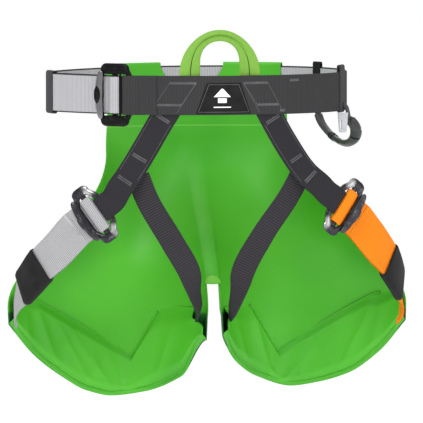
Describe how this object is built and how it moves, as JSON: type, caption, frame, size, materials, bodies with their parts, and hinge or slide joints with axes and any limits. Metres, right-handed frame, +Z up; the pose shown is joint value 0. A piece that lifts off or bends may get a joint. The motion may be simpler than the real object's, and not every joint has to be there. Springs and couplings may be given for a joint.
{
  "type": "tree climbing saddle",
  "caption": "Sit harness with an adjustable waist belt, front attachment loop, two buckled leg straps and a green coated protective seat.",
  "frame": {"origin": "middle of the waist opening, at half the height of the waist belt", "axes": "+Z up when worn, -Y towards the wearer's front, +X to the right of someone who faces the wearer"},
  "size_m": [0.4616, 0.2362, 0.4292],
  "materials": {
    "dark_webbing": "ribbed polyester webbing",
    "light_webbing": "ribbed polyester webbing",
    "orange_webbing": "ribbed polyester webbing",
    "black_webbing": "woven tape",
    "loop_webbing": "satin high-strength webbing",
    "label_cloth": "printed tape with a white arrow",
    "sleeve_cloth": "smooth elastic sleeve",
    "seat_sheet": "satin coated sheet",
    "buckle_metal": "dark coated, semi-gloss",
    "moulded_grey": "moulded, satin"
  },
  "bodies": {
    "root": {"attachment_loop_base": "loop_webbing", "crotch_tab": "seat_sheet", "gear_loop_strap_front": "black_webbing", "gear_loop_strap_rear": "black_webbing", "gear_loop_tongue": "light_webbing", "inner_leg_strap_left": "dark_webbing", "inner_leg_strap_right": "dark_webbing", "label_patch": "label_cloth", "leg_buckle_frame_left": "buckle_metal", "leg_buckle_frame_right": "buckle_metal", "leg_tail_left": "light_webbing", "leg_tail_right": "orange_webbing", "leg_webbing_left": "light_webbing", "leg_webbing_right": "orange_webbing", "riser_left": "dark_webbing", "riser_right": "dark_webbing", "seat_flap_left": "seat_sheet", "seat_flap_right": "seat_sheet", "seat_panel": "seat_sheet", "seat_pocket_left": "seat_sheet", "seat_pocket_right": "seat_sheet", "tunnel_strap_left": "dark_webbing", "tunnel_strap_right": "dark_webbing", "waist_belt_back": "light_webbing", "waist_belt_front": "dark_webbing", "waist_belt_tail": "light_webbing", "waist_buckle_frame": "buckle_metal"},
    "attachment_loop": {"attachment_loop": "loop_webbing"},
    "gear_loop": {"gear_loop": "moulded_grey", "gear_loop_bands": "black_webbing"},
    "belt_keeper": {"belt_keeper": "black_webbing"},
    "waist_lock_plate": {"waist_buckle_lock_plate": "buckle_metal"},
    "left_lock_plate": {"leg_buckle_lock_plate_left": "buckle_metal"},
    "right_lock_plate": {"leg_buckle_lock_plate_right": "buckle_metal"},
    "left_leg_sleeve": {"leg_sleeve_left": "sleeve_cloth"},
    "right_leg_sleeve": {"leg_sleeve_right": "sleeve_cloth"}
  },
  "joints": [
    {"name": "attachment_loop_fold", "type": "hinge", "parent": "root", "child": "attachment_loop", "pos_m": [0, -0.107, 0.0259], "axis": [1, 0, 0], "range_deg": [-25, 80]},
    {"name": "gear_loop_swing", "type": "hinge", "parent": "root", "child": "gear_loop", "pos_m": [0.14575, 0.008, -0.027], "axis": [0.1688, -0.9856, 0], "range_deg": [0, 60]},
    {"name": "keeper_travel", "type": "hinge", "parent": "root", "child": "belt_keeper", "pos_m": [-0.14386, 0, 0], "axis": [0, 0, 1], "range_deg": [-25, 9]},
    {"name": "waist_lock_tilt", "type": "hinge", "parent": "root", "child": "waist_lock_plate", "pos_m": [-0.13408, -0.07798, 0], "axis": [0, 0, 1], "range_deg": [0, 20]},
    {"name": "left_lock_tilt", "type": "hinge", "parent": "root", "child": "left_lock_plate", "pos_m": [-0.15358, -0.09324, -0.14197], "axis": [-0.5463, 0.2281, 0.8059], "range_deg": [0, 20]},
    {"name": "right_lock_tilt", "type": "hinge", "parent": "root", "child": "right_lock_plate", "pos_m": [0.14958, -0.09524, -0.13597], "axis": [-0.5463, -0.2281, -0.8059], "range_deg": [0, 20]},
    {"name": "left_sleeve_slide", "type": "slide", "parent": "root", "child": "left_leg_sleeve", "axis": [-0.3871, 0.6621, -0.6417], "range_m": [-0.003, 0.003]},
    {"name": "right_sleeve_slide", "type": "slide", "parent": "root", "child": "right_leg_sleeve", "axis": [0.3845, 0.6578, -0.6477], "range_m": [-0.003, 0.003]}
  ]
}
